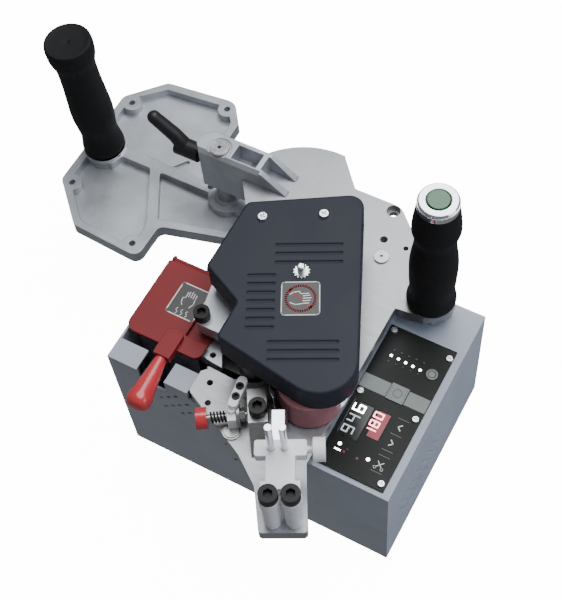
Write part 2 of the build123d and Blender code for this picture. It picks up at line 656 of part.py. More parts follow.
def tape_bracket():
    x0, x1, y0, y1 = CROSSBAR
    bracket = prism([(x0, y0), (x1, y0), (x1, y1), (x0, y1)], BRACKET_BASE, BRACKET_TOP, 2)
    bracket = bracket + block(0, 30, -10, 10, BRACKET_BASE, BRACKET_TOP)
    for at in BRACKET_BOLTS_AT:
        bracket = bracket + rod(at, BRACKET_BASE, BRACKET_TOP, 7.2)
        bracket = bracket + block(24, at[0], at[1] - 6, at[1] + 6, BRACKET_BASE, BRACKET_TOP)
    bracket = bracket - block(32, 50, -1, 1, BRACKET_BASE - 1, BRACKET_TOP + 1)
    for at in BRACKET_BOLTS_AT:
        bracket = bracket - rod(at, BRACKET_BASE - 1, BRACKET_TOP + 1, 4 + FIT)
    for at in TAPE_PINS_AT:
        bracket = bracket - rod(at, BRACKET_BASE - 1, BRACKET_TOP + 1, TAPE_PIN_R + FIT / 2)
    bracket = bracket - Pos(0, y1 - 2, BRACKET_MIDDLE) * Rot(90, 0, 0) * Cylinder(2.5 + FIT, 10)
    return on_tongue(bracket)


def guide_posts():
    low = DECK_TOP
    posts = []
    for at in BRACKET_BOLTS_AT:
        post = rod(at, low, BRACKET_BASE, BRACKET_POST_R)
        posts.append(on_tongue(post - rod(at, BRACKET_BASE - 14, BRACKET_BASE + 1, 4 + FIT)))
    return posts


def tape_pins():
    return [on_tongue(rod(at, BRACKET_BASE, TAPE_PIN_TOP, TAPE_PIN_R)) for at in TAPE_PINS_AT]


def bracket_thumb_screw():
    """Side screw of the crossbar with a round knob."""
    screw = along_x(CROSSBAR[3] - 6, CROSSBAR[3] + 5, 2.5) + along_x(CROSSBAR[3] + 4, CROSSBAR[3] + 12.5, 8.5)
    return on_tongue(Pos(0, 0, BRACKET_MIDDLE) * Rot(0, 0, 90) * screw)


def socket_screws():
    """Black cap screws: two of the tape bracket, the fence's, the support block's and two of the link."""
    shank = BRACKET_TOP - BRACKET_BASE + 12
    screws = [on_tongue(socket_screw(at, BRACKET_TOP, 6.8, 4, shank)) for at in BRACKET_BOLTS_AT]
    screws.append(on_fence(socket_screw(FENCE_SCREW_AT, FENCE_TOP, 6.6, 4.5, 16)))
    screws.append(socket_screw(SUPPORT_SCREW_AT, SUPPORT_TOP, 6.2, 4, 9))
    screws += [socket_screw(at, LINK_TOP - LINK_SINK, LINK_HEAD_R, 2, 1.4) for at in LINK_SCREWS_AT]
    return screws


FENCE_AT = (110.0, 24.5)
FENCE_ANGLE = -58.0
FENCE_TOP = DECK_TOP + 20
FENCE_SCREW_AT = (27.9, 6.2)
SHOE_AT = (145.0, 8.2)


def on_fence(shape):
    return turned_to(FENCE_AT, 0, FENCE_ANGLE) * shape


def fence_bar():
    """Thick steel guide bar along the tongue, whose far end slopes down to the deck."""
    side = [(10, 0, DECK_TOP), (55, 0, DECK_TOP), (37, 0, FENCE_TOP), (10, 0, FENCE_TOP)]
    bar = extrude(make_face(Polyline(*side, close=True)), 14, dir=(0, 1, 0))
    bar = Pos(0, -1.3, 0) * bar
    return on_fence(bar - rod(FENCE_SCREW_AT, FENCE_TOP - 18, FENCE_TOP + 1, 4.5 + FIT))


def guide_shoe():
    """Polished pressure shoe beside the drum, and the wedge that leads the tape to it."""
    shoe = block(0, 30, -6, 6, DECK_TOP, DECK_TOP + 31)
    shoe = chamfer(shoe.faces().sort_by(Axis.Z)[-1].edges(), 1.5)
    shoe = turned_to(SHOE_AT, 0, TONGUE_ANGLE) * shoe
    near = DRUM_AT[0] - DRUM_R
    plan = [(near - 4, 25), (near + 1, 17), (near + 6, 13), (near + 3.5, 21)]
    return shoe, prism(plan, DECK_TOP, DECK_TOP + 29, 0.5)


ROD_ANGLE = 33.0
KNOB_AT = (93.8, -15.9)
ROD_Z = DECK_TOP + 9.7
ROD_BLOCK_TOP = DECK_TOP + 16
KNOB_R = 8.2
KNOB_HALF = 4.1
ROD_R = 2.5
ROD_BLOCK = (18.5, 25.0)    # along the rod, from the knob's middle
SPRING_SPAN = (5.3, 18.2)
SPRING_TURNS = 5
NUT_SPAN = (25.3, 31.5)
LINK_BASE = ROD_BLOCK_TOP + 3
LINK_TOP = LINK_BASE + 4.5
LINK_SCREWS_AT = [(110.0, 13.8), (111.3, 5.5)]
LINK_HEAD_R = 3.0
LINK_SINK = 3.3             # depth of the counterbores
BOSS_AT = (115.0, -11.5)
BOSS_R = 7.0
BOSS_HEIGHT = 2.4


def on_rod(shape):
    return turned_to(KNOB_AT, ROD_Z, ROD_ANGLE) * shape


def adjuster_knob():
    knob = along_x(-KNOB_HALF, KNOB_HALF, KNOB_R)
    return on_rod(knob - along_x(-3, 6, ROD_R))


def adjuster_rod():
    return on_rod(along_x(-3, NUT_SPAN[1] + 1.5, ROD_R))


def rod_spring():
    """Round-wire compression spring between the knob and the block."""
    length = SPRING_SPAN[1] - SPRING_SPAN[0]
    wire = 0.6
    coil = Helix(pitch=(length - 2 * wire) / SPRING_TURNS, height=length - 2 * wire, radius=3.7)
    start = coil @ 0
    section = Plane(origin=start, z_dir=coil % 0) * Circle(wire)
    spring = sweep(section, path=coil, is_frenet=True)
    return on_rod(Pos(SPRING_SPAN[0] + wire, 0, 0) * Rot(0, 90, 0) * spring)


def rod_block():
    """White plastic block that the rod turns in, standing on the deck."""
    x0, x1 = ROD_BLOCK
    body = block(x0, x1, -7, 7, DECK_TOP - ROD_Z, ROD_BLOCK_TOP - ROD_Z)
    body = on_rod(body - along_x(x0 - 1, x1 + 1, ROD_R + FIT))
    return body - rod(BOSS_AT, DECK_TOP - 1, DECK_TOP + BOSS_HEIGHT + GAP, BOSS_R + GAP)


def link_plate():
    """White link from the block to its post behind."""
    back = (109.3, 18.4)
    front = (112.4, -3.0)
    way = direction(back, front)
    length = hypot(front[0] - back[0], front[1] - back[1])
    plan = [(-3.5, -3.8), (length, -3.5), (length, 3.5), (-3.5, 3.8)]
    bar = turned_to(back, 0, way) * prism(plan, LINK_BASE, LINK_TOP, [3.4, 3, 3, 3.4])
    link = bar + rod(back, DECK_TOP, LINK_BASE, 2.5) + rod((112.1, -3.2), ROD_BLOCK_TOP, LINK_BASE, 2.8)
    for at in LINK_SCREWS_AT:
        link = link - rod(at, LINK_TOP - LINK_SINK, LINK_TOP + 1, LINK_HEAD_R + FIT)
        link = link - rod(at, LINK_BASE - 1, LINK_TOP, 2 + FIT)
    return link


def pivot_boss():
    """Steel stud with a washer in front of the block."""
    washer = rod(BOSS_AT, DECK_TOP, DECK_TOP + 1.4, BOSS_R)
    return washer + rod(BOSS_AT, DECK_TOP, DECK_TOP + BOSS_HEIGHT, 5.8)


def hex_nuts():
    """Flanged nut on the adjuster rod and the nut under the right grip's ear."""
    x0, x1 = NUT_SPAN
    plan = RegularPolygon(4.5, 6, major_radius=False)
    nut = along_x(x0, x0 + 2.4, 9) + Pos(x0 + 2.4, 0, 0) * Rot(0, 90, 0) * extrude(plan, x1 - x0 - 2.4)
    nut = on_rod(nut - along_x(x0 - 1, x1 + 1, ROD_R + FIT))
    low = DECK_BASE - 8
    grip_nut = hexagon(RIGHT_GRIP_AT, low, DECK_BASE, 21)
    grip_nut = grip_nut - rod(RIGHT_GRIP_AT, low - 1, DECK_BASE + 1, 6 + FIT)
    return nut, grip_nut


# ---- grips --------------------------------------------------------------------------------------
CORE_R = 8.0
CUP_R = 12.5                # widened end of the right grip's tube, which holds the button
BEZEL_R = 14.5
BEZEL_NECK_R = 11.0
RIGHT_SLEEVE_BASE = DECK_TOP + 2
RIGHT_SLEEVE_TOP = RIGHT_SLEEVE_BASE + RIGHT_GRIP_LENGTH
COLLAR_TOP = RIGHT_SLEEVE_TOP + 5
BEZEL_TOP = COLLAR_TOP + 2.5
CUP_DEPTH = 8.0
BUTTON_WELL = 9.0


def right_grip():
    """Rubber sleeve: a foot, a waist, a belly for the palm and a bulge below the collar."""
    low = RIGHT_SLEEVE_BASE
    high = RIGHT_SLEEVE_TOP
    cup = high - CUP_DEPTH - 2
    return lathe(RIGHT_GRIP_AT, [
        (CORE_R, low), (GRIP_R + 0.5, low), (GRIP_R + 1.5, low + 4), (GRIP_R + 0.5, low + 9),
        (GRIP_R - 0.5, low + 16), (GRIP_R + 0.3, low + 34), (GRIP_R + 0.5, low + 54),
        (GRIP_R - 1.5, low + 72), (GRIP_R - 2.5, low + 82), (GRIP_R - 1, low + 90),
        (GRIP_R + 0.3, low + 97), (GRIP_R - 0.5, low + 108),
        (GRIP_R - 2.5, high), (CUP_R, high), (CUP_R, cup), (CORE_R, cup)])


def right_grip_core():
    """Steel tube with a foot, a stud through the deck's ear and a knurled collar on top."""
    cup = RIGHT_SLEEVE_TOP - CUP_DEPTH - 2
    floor = COLLAR_TOP - CUP_DEPTH
    return lathe(RIGHT_GRIP_AT, [
        (0, DECK_BASE - 10), (6, DECK_BASE - 10), (6, DECK_TOP), (GRIP_R - 2, DECK_TOP),
        (GRIP_R - 2, RIGHT_SLEEVE_BASE), (CORE_R, RIGHT_SLEEVE_BASE), (CORE_R, cup), (CUP_R, cup),
        (CUP_R, RIGHT_SLEEVE_TOP), (BEZEL_R + 0.5, RIGHT_SLEEVE_TOP), (BEZEL_R + 0.5, COLLAR_TOP),
        (BEZEL_NECK_R + FIT, COLLAR_TOP), (BEZEL_NECK_R + FIT, floor), (0, floor)])


def button_bezel():
    well = BUTTON_R + GAP
    low = COLLAR_TOP - CUP_DEPTH
    return lathe(RIGHT_GRIP_AT, [
        (0, low), (BEZEL_NECK_R, low), (BEZEL_NECK_R, COLLAR_TOP), (BEZEL_R, COLLAR_TOP),
        (BEZEL_R, BEZEL_TOP - 1), (BEZEL_R - 1, BEZEL_TOP), (well + 1, BEZEL_TOP), (well, BEZEL_TOP - 1),
        (well, BEZEL_TOP - BUTTON_WELL), (0, BEZEL_TOP - BUTTON_WELL)])


def start_button():
    low = BEZEL_TOP - BUTTON_WELL + BUTTON_TRAVEL + GAP
    return rod(RIGHT_GRIP_AT, low, BEZEL_TOP + 0.5, BUTTON_R)


LEAN = 2.4                  # the left grip leans outwards by this many degrees
LEAN_TURN = -61.4


def leaned(profile):
    """A turned piece that leans about the middle of the left grip's foot."""
    return turned_to(LEFT_GRIP_AT, TABLE_TOP, LEAN_TURN) * Rot(LEAN, 0, 0) * lathe((0, 0), profile)


def left_grip():
    """Rubber sleeve with a closed, flared end."""
    low = 4.0
    high = low + LEFT_GRIP_LENGTH
    return leaned([
        (CORE_R, low), (GRIP_R, low), (GRIP_R + 0.8, low + 4), (GRIP_R - 1.3, low + 20),
        (GRIP_R - 0.3, low + 34), (GRIP_R + 0.8, low + 48), (GRIP_R, low + 66),
        (GRIP_R - 1, low + 86), (GRIP_R - 1, low + 106), (GRIP_R + 0.8, low + 113), (GRIP_R + 2.3, low + 122), (GRIP_R + 2.5, high - 4), (GRIP_R + 1, high),
        (GRIP_R - 4, high - 0.8), (0, high - 1.5), (0, high - 5), (CORE_R, high - 5)])


def left_grip_core():
    """Upright stud and flange on the table, and the leaning tube inside the sleeve."""
    foot = lathe(LEFT_GRIP_AT, [
        (0, TABLE_BASE + 1), (6, TABLE_BASE + 1), (6, TABLE_TOP), (GRIP_R + 1, TABLE_TOP),
        (GRIP_R + 1, TABLE_TOP + 3), (0, TABLE_TOP + 3)])
    return foot + leaned([(0, 1), (CORE_R, 1), (CORE_R, LEFT_GRIP_LENGTH - 2), (0, LEFT_GRIP_LENGTH - 2)])


# ---- side table on its post ---------------------------------------------------------------------
def table_plate():
    """Cast plate with a rim, two ribs, pockets, four fixing holes and a socket for the post."""
    outline = [(14, 160), (-50, 143), (-50.5, 108.5), (-117, 112.5), (-153, 148), (-153, 250),
               (-124, 281), (-58, 288), (-43, 268), (-43, 232), (14, 222)]
    plate = prism(outline, TABLE_BASE, TABLE_TOP, [2, 7, 8, 6, 8, 8, 8, 13, 6, 6, 4])
    low = TABLE_BASE + TABLE_FLOOR
    high = TABLE_TOP + 1
    upper = [(-121, 202), (-36, 202), (-36, 225), (-50, 228), (-50, 266), (-62, 280), (-121, 274),
             (-146, 250), (-146, 212)]
    lower = [(-89, 192), (-61, 140), (-59, 115), (-114, 119), (-146, 151), (-146, 180), (-122, 180),
             (-118, 192)]
    corner = [(-79, 192), (-20, 192), (6, 182), (6, 165), (-55, 149)]
    pockets = prism(upper, low, high, 3) + prism(lower, low, high, 3)
    pockets = pockets + (prism(corner, low, high, 2) - rod(POST_AT, low, high, POST_R + 9))
    for at in TABLE_HOLES_AT:
        pockets = pockets - rod(at, low, high, 8.5)
    pockets = pockets - rod(LEFT_GRIP_AT, low, high, GRIP_R + 1.5)
    plate = plate - pockets
    plate = plate + rod(POST_AT, TABLE_TOP, TABLE_TOP + 3, POST_R + 3)
    plate = plate - rod(POST_AT, TABLE_BASE - 1, TABLE_TOP + 4, POST_R + FIT)
    plate = plate - rod(LEFT_GRIP_AT, TABLE_BASE - 1, TABLE_TOP + 1, 6 + FIT)
    for at in TABLE_HOLES_AT + [TABLE_INNER_HOLE_AT]:
        plate = plate - rod(at, TABLE_BASE - 1, TABLE_TOP + 1, TABLE_HOLE_R)
    slot = prism([(-9.5, -2.3), (9.5, -2.3), (9.5, 2.3), (-9.5, 2.3)], TABLE_BASE + 1, high, 2.2)
    return plate - turned_to((-70.6, 209.6), 0, 54) * slot


CLAMP_Z = ARM_TOP - 19
CLAMP_FLAT = 1.5            # depth of the flat that the clamp screw bears on


def table_post():
    """Post in the arm's bore. A flat along its whole left side keeps it from turning."""
    x, y = POST_AT
    post = rod(POST_AT, TABLE_BASE + 1, ARM_TOP + 1, POST_R)
    flat = block(x - POST_R - 1, x - POST_R + CLAMP_FLAT, y - POST_R, y + POST_R, TABLE_BASE, ARM_TOP + 2)
    post = post - flat
    return post - rod(POST_AT, ARM_TOP - 8, ARM_TOP + 2, 1.6)


ARM_LEFT = -33.5
ARM_RIGHT = 11.6            # right face of the block, at the deck's edge
ARM_FRONT = POST_AT[1] - POST_R - 1
ARM_BACK = POST_AT[1] + POST_R + 5


def arm_bracket():
    """Cast arm: a tall clamp block, two walls with a pocket, and ramps that end on the deck."""
    top = ARM_TOP
    block_plan = [(ARM_LEFT, ARM_FRONT + 7), (ARM_LEFT + 5, ARM_FRONT), (ARM_RIGHT, ARM_FRONT),
                  (ARM_RIGHT, ARM_BACK), (ARM_LEFT + 9, ARM_BACK), (ARM_LEFT, ARM_BACK - 7)]
    arm = prism(block_plan, ARM_BLOCK_BASE, top, 1)
    arm = arm + block(ARM_RIGHT - 1, 27, ARM_FRONT, ARM_BACK, DECK_TOP, top)
    ramp_side = [(26, 0, DECK_TOP), (52, 0, DECK_TOP), (29, 0, top), (26, 0, top)]
    ramp = extrude(make_face(Polyline(*ramp_side, close=True)), ARM_BACK - ARM_FRONT, dir=(0, 1, 0))
    arm = arm + Pos(0, ARM_FRONT, 0) * ramp
    arm = arm - block(0, 23, 191.2, 205.5, DECK_TOP, top + 1)
    arm = arm - prism([(27.2, 191.5), (56, 193), (56, 203), (27.2, 205.5)], DECK_TOP - 1, top + 1, 0.5)
    arm = arm - rod(POST_AT, ARM_BLOCK_BASE - 1, top + 1, POST_R + FIT)
    arm = arm - rod(POST_AT, top - 0.8, top + 1, POST_R + 2)
    bevel = Pos(0, ARM_FRONT, top) * Rot(45, 0, 0) * Box(200, 4.5, 4.5)
    arm = arm - (bevel & block(-60, 28, 180, 192, top - 6, top + 6))
    clamp_hole = Pos(0, POST_AT[1], CLAMP_Z) * along_x(ARM_LEFT - 1, POST_AT[0], 4 + FIT)
    return arm - clamp_hole


def clamp_lever():
    """Indexing lever: a hub on the screw's axis and a kinked arm that rises and leans outwards."""
    y = POST_AT[1]
    hub_left = ARM_LEFT - 22
    screw_end = POST_AT[0] - POST_R + CLAMP_FLAT - GAP
    hub = along_x(hub_left, ARM_LEFT - GAP, 8) + along_x(ARM_LEFT - 1, screw_end, 4)
    hub = Pos(0, y, CLAMP_Z) * hub
    start = Vector(hub_left + 7, y, CLAMP_Z + 2)
    knee = Vector(hub_left - 1, y + 0.5, CLAMP_Z + 11)
    end = Vector(hub_left - 18, y - 1, CLAMP_Z + 27)
    for low, high, r0, r1 in ((start, knee, 7.0, 6.2), (knee, end, 6.2, 5.6)):
        run = high - low
        plane = Plane(origin=(low + high) / 2, z_dir=run)
        hub = hub + plane * Cone(r0, r1, run.length)
    return hub + Pos(*knee) * Sphere(6.2) + Pos(*end) * Sphere(5.6)


# ---- write every node ---------------------------------------------------------------------------
def main():
    os.makedirs("parts", exist_ok=True)
    save("base_plate", base_plate())
    save("front_panel", front_panel())
    save("left_panel", left_panel())
    save("rear_corner_panel", rear_corner_panel())
    save("back_panel", back_panel())
    save("mains_inlet", mains_inlet())
    save("partition_panel", partition_panel())
    save("control_box_cover", control_box_cover())
    save("panel_plate", panel_plate())
    panel_top = CONTROL_HEIGHT + PANEL_THICK
    save("panel_screws", *[
        pan_screw((CONTROL_LEFT + x, y), panel_top, 3.0, 1.6, 1.55, PANEL_THICK + SHEET + 1)
        for x, y in PANEL_SCREWS_AT])
    save("control_board", control_board())
    save("displays", *displays())
    save("strip_key", strip_key())
    save("power_key", power_key())
    save("main_deck", main_deck())
    save("deck_pin", deck_pin(), pivot_boss())
    save("gear_motor", gear_motor())
    save("gearbox_screws", *gearbox_screws())
    save("bearings", *bearings())
    save("gear_plate", gear_plate())
    save("pillars", *pillars())
    save("top_cover", top_cover())
    save("cover_screws", *[
        pan_screw(at, COVER_TOP, 4.2, 2.6, 2, COVER_WALL + 9) for at in COVER_SCREWS_AT])
    save("cover_thumb_screw", cover_thumb_screw())
    drum_shaft, idler, pinion, roller = rotating_set()
    save("drum_shaft", drum_shaft)
    save("feed_drum", feed_drum())
    save("idler_gear", idler)
    save("motor_pinion", pinion)
    save("glue_roller", roller)
    save("glue_pot", glue_pot())
    save("pot_heater", pot_heater())
    save("pot_standoffs", *pot_standoffs())
    save("pot_cover", pot_cover())
    save("lid_hinge_pin", lid_hinge_pin())
    save("glue_lid", glue_lid())
    save("lid_handle", lid_handle())
    save("support_block", support_block())
    save("tape_bracket", tape_bracket())
    save("guide_posts", *guide_posts())
    save("tape_pins", *tape_pins())
    save("bracket_thumb_screw", bracket_thumb_screw())
    save("socket_screws", *socket_screws())
    save("fence_bar", fence_bar())
    save("guide_shoe", *guide_shoe())
    save("adjuster_knob", adjuster_knob())
    save("adjuster_rod", adjuster_rod())
    save("rod_spring", rod_spring())
    save("rod_block", rod_block())
    save("link_plate", link_plate())
    save("hex_nuts", *hex_nuts())
    save("right_grip", right_grip())
    save("right_grip_core", right_grip_core())
    save("button_bezel", button_bezel())
    save("start_button", start_button())
    save("left_grip", left_grip())
    save("left_grip_core", left_grip_core())
    save("table_plate", table_plate())
    save("table_post", table_post())
    save("arm_bracket", arm_bracket())
    save("clamp_lever", clamp_lever())


main()
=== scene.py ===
import json
from math import cos, pi, radians, sin

import bmesh
import bpy
from mathutils import Matrix, Vector


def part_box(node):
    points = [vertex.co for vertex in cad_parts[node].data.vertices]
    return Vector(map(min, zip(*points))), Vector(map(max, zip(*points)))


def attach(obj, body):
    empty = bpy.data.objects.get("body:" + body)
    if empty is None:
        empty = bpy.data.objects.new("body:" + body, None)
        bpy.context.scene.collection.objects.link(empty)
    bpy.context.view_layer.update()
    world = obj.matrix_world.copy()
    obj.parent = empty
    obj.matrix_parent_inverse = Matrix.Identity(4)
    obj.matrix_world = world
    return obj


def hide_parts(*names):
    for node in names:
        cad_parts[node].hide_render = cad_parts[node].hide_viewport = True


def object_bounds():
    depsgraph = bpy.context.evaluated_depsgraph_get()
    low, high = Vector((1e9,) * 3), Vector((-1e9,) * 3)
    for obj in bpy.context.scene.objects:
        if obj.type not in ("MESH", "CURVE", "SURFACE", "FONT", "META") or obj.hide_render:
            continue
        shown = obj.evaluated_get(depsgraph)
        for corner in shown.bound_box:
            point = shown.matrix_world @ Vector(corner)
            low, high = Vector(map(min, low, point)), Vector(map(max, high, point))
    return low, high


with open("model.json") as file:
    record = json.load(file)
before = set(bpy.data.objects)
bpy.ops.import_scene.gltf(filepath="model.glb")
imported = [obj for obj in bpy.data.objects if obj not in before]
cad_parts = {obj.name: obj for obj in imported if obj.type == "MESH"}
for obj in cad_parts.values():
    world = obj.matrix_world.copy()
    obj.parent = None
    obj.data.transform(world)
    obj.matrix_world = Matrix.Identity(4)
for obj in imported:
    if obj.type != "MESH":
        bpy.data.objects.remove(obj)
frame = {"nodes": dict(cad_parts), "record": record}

# Looks of the portable edge banding machine. Metres, in the CAD model's own frame, with the small
# pieces' own sizes in millimetres. Places come from the boxes of the CAD nodes. Colours are linear.

MM = 0.001
cad_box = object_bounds()
slot_of = {part["node"]: part["material_slot"] for part in frame["record"]["subparts"]}


# ---- shader building blocks ---------------------------------------------------------------------
def shader_node(tree, kind, sockets=None, **settings):
    """A shader node. A socket takes a value, or the output socket that feeds it."""
    made = tree.nodes.new("ShaderNode" + kind)
    for key, value in settings.items():
        setattr(made, key, value)
    for name, value in (sockets or {}).items():
        if isinstance(value, bpy.types.NodeSocket):
            tree.links.new(value, made.inputs[name])
        else:
            made.inputs[name].default_value = value
    return made


def ramp(tree, factor, stops):
    """A colour ramp through two (place, colour) stops."""
    made = shader_node(tree, "ValToRGB", {"Fac": factor})
    band = made.color_ramp
    for element, (place, colour) in zip(band.elements, stops):
        element.position = place
        element.color = (*colour, 1.0)
    return made.outputs["Color"]


def spread(tree, factor, low, high, start=0.3, end=0.7):
    """Noise runs mostly from start to end: spread it over low to high."""
    made = shader_node(tree, "MapRange", {
        "Value": factor, "From Min": start, "From Max": end, "To Min": low, "To Max": high})
    return made.outputs["Result"]


def noise(tree, coords, scale, detail=3.0, distortion=0.0):
    made = shader_node(tree, "TexNoise", {
        "Vector": coords, "Scale": scale, "Detail": detail, "Distortion": distortion})
    return made.outputs["Fac"]


def finish(name, dark, light, rough, metallic=0.0, patch=30.0, grain=900.0, stretch=(1, 1, 1),
           bump=0.15, depth=0.05, edge=0.5, worn=None, wear=0.35, **sockets):
    """A surface with patches between two tones, a fine grain in its bump and roughness, rounded
    edges and, with a worn colour, rubbed edges. depth and edge are in millimetres."""
    material = bpy.data.materials.new(name)
    material.use_nodes = True
    tree = material.node_tree
    shader = tree.nodes["Principled BSDF"]
    coords = shader_node(tree, "TexCoord").outputs["Object"]
    drawn = shader_node(tree, "Mapping", {"Vector": coords, "Scale": stretch}).outputs["Vector"]
    patches = noise(tree, coords, patch, 4.0, 0.4)
    fine = noise(tree, drawn, grain, 3.0)
    colour = ramp(tree, patches, [(0.3, dark), (0.7, light)])
    speckle = spread(tree, fine, 0.93, 1.07)
    colour = shader_node(tree, "VectorMath", {0: colour, "Scale": speckle}, operation="SCALE").outputs[0]
    rounded = shader_node(tree, "Bevel", {"Radius": edge * MM}, samples=4).outputs["Normal"]
    if worn:
        flat = shader_node(tree, "NewGeometry").outputs["Normal"]
        alike = shader_node(tree, "VectorMath", {0: rounded, 1: flat}, operation="DOT_PRODUCT")
        rubbed = spread(tree, alike.outputs["Value"], wear, 0.0, 0.8, 0.97)
        ragged = shader_node(tree, "Math", {0: rubbed, 1: patches}, operation="MULTIPLY").outputs[0]
        mixed = shader_node(tree, "MixRGB", {"Fac": ragged, "Color1": colour, "Color2": (*worn, 1.0)})
        colour = mixed.outputs["Color"]
    tree.links.new(colour, shader.inputs["Base Color"])
    mottled = shader_node(tree, "Math", {0: patches, 1: fine}, operation="ADD").outputs[0]
    tree.links.new(spread(tree, mottled, rough[0], rough[1], 0.7, 1.3), shader.inputs["Roughness"])
    relief = shader_node(tree, "Bump", {
        "Height": fine, "Strength": bump, "Distance": depth * MM, "Normal": rounded})
    tree.links.new(relief.outputs["Normal"], shader.inputs["Normal"])
    shader.inputs["Metallic"].default_value = metallic
    for socket, value in sockets.items():
        shader.inputs[socket.replace("_", " ")].default_value = value
    return material


# ---- one finish for each slot of the record -----------------------------------------------------
finishes = {
    "housing_paint": finish(
        "silver_grey_coat", (0.37, 0.41, 0.48), (0.44, 0.48, 0.55), (0.42, 0.56),
        grain=1400.0, bump=0.35, worn=(0.62, 0.64, 0.68)),
    "deck_aluminium": finish(
        "milled_aluminium", (0.30, 0.31, 0.32), (0.40, 0.41, 0.43), (0.32, 0.48), metallic=0.8,
        grain=700.0, stretch=(0.12, 1.0, 1.0), bump=0.2, worn=(0.8, 0.8, 0.8)),
    "cast_aluminium": finish(
        "cast_aluminium", (0.40, 0.42, 0.45), (0.54, 0.56, 0.60), (0.34, 0.5), metallic=0.7,
        grain=1100.0, bump=0.35, depth=0.08, edge=0.9, worn=(0.85, 0.85, 0.86)),
    "steel": finish(
        "ground_steel", (0.36, 0.36, 0.35), (0.48, 0.48, 0.47), (0.28, 0.42), metallic=0.9,
        grain=800.0, stretch=(1.0, 0.15, 1.0), bump=0.2, worn=(0.8, 0.8, 0.8)),
    "zinc_screw": finish(
        "bright_zinc", (0.62, 0.63, 0.65), (0.75, 0.76, 0.78), (0.18, 0.32), metallic=1.0,
        grain=1500.0, bump=0.15, edge=0.3),
    "black_screw": finish(
        "black_oxide", (0.004, 0.004, 0.0045), (0.008, 0.008, 0.009), (0.34, 0.48),
        grain=1500.0, edge=0.4, worn=(0.03, 0.03, 0.03), Specular_IOR_Level=0.25),
    "navy_cover": finish(
        "navy_coat", (0.010, 0.013, 0.023), (0.014, 0.018, 0.031), (0.5, 0.64), patch=18.0,
        grain=1900.0, bump=0.5, depth=0.06, edge=2.0, worn=(0.04, 0.047, 0.075), wear=0.25,
        Specular_IOR_Level=0.35),
    "red_lid": finish(
        "brick_red_coat", (0.19, 0.014, 0.017), (0.25, 0.019, 0.023), (0.42, 0.56), patch=24.0,
        grain=1500.0, bump=0.3, edge=0.9, worn=(0.36, 0.05, 0.05), Specular_IOR_Level=0.3),
    "red_gloss": finish(
        "red_gloss_plastic", (0.52, 0.035, 0.045), (0.60, 0.045, 0.055), (0.14, 0.26), patch=22.0,
        grain=500.0, bump=0.12, edge=0.8, Coat_Weight=0.4, Coat_Roughness=0.12),
    "white_metal": finish(
        "white_coat", (0.88, 0.90, 0.93), (0.93, 0.95, 0.97), (0.25, 0.38), grain=1300.0,
        bump=0.2, edge=0.8, worn=(0.9, 0.9, 0.92)),
    "white_plastic": finish(
        "white_plastic", (0.88, 0.90, 0.91), (0.94, 0.95, 0.96), (0.34, 0.5), grain=1300.0,
        bump=0.2, edge=0.7),
    "grip_rubber": finish(
        "grip_foam", (0.004, 0.004, 0.0045), (0.007, 0.007, 0.008), (0.6, 0.8), patch=40.0,
        grain=2600.0, bump=0.6, depth=0.1, edge=1.5, Specular_IOR_Level=0.3),
    "drum_rubber": finish(
        "drum_rubber", (0.30, 0.115, 0.13), (0.38, 0.155, 0.17), (0.55, 0.72), patch=60.0,
        grain=1500.0, bump=0.5, depth=0.1, edge=0.8),
    "green_button": finish(
        "green_button", (0.008, 0.10, 0.028), (0.016, 0.15, 0.045), (0.2, 0.34), patch=150.0,
        grain=900.0, edge=0.6, Coat_Weight=0.3),
    "chrome": finish(
        "polished_chrome", (0.66, 0.67, 0.70), (0.76, 0.77, 0.80), (0.1, 0.22), metallic=1.0,
        grain=900.0, bump=0.06, edge=0.5),
    "panel_film": finish(
        "panel_film", (0.005, 0.0055, 0.005), (0.008, 0.009, 0.008), (0.4, 0.55), patch=26.0,
        grain=2400.0, bump=0.3, edge=0.4, Specular_IOR_Level=0.25),
    "display_glass": finish(
        "display_window", (0.010, 0.011, 0.011), (0.016, 0.017, 0.017), (0.2, 0.3), patch=60.0,
        grain=1200.0, bump=0.08, edge=0.3),
    "key_grey": finish(
        "grey_key", (0.19, 0.21, 0.20), (0.23, 0.25, 0.24), (0.38, 0.5), patch=60.0, grain=2200.0,
        bump=0.25, edge=0.4),
    "black_plastic": finish(
        "black_plastic", (0.007, 0.007, 0.008), (0.012, 0.012, 0.013), (0.36, 0.52), patch=50.0,
        grain=1500.0, bump=0.35, edge=0.8),
    "circuit_board": finish(
        "solder_mask", (0.01, 0.11, 0.035), (0.02, 0.17, 0.06), (0.3, 0.45), patch=90.0,
        grain=1200.0, edge=0.2),
    "bronze": finish(
        "sintered_bronze", (0.36, 0.22, 0.09), (0.52, 0.34, 0.15), (0.35, 0.5), metallic=0.9,
        grain=1600.0, bump=0.3, edge=0.3),
    "motor_black": finish(
        "black_enamel", (0.018, 0.018, 0.02), (0.03, 0.03, 0.032), (0.3, 0.45), grain=1200.0,
        bump=0.25, edge=1.0, worn=(0.2, 0.2, 0.2)),
}


for node_name, cad_piece in frame["nodes"].items():
    cad_piece.data.materials.clear()
    cad_piece.data.materials.append(finishes[slot_of[node_name]])


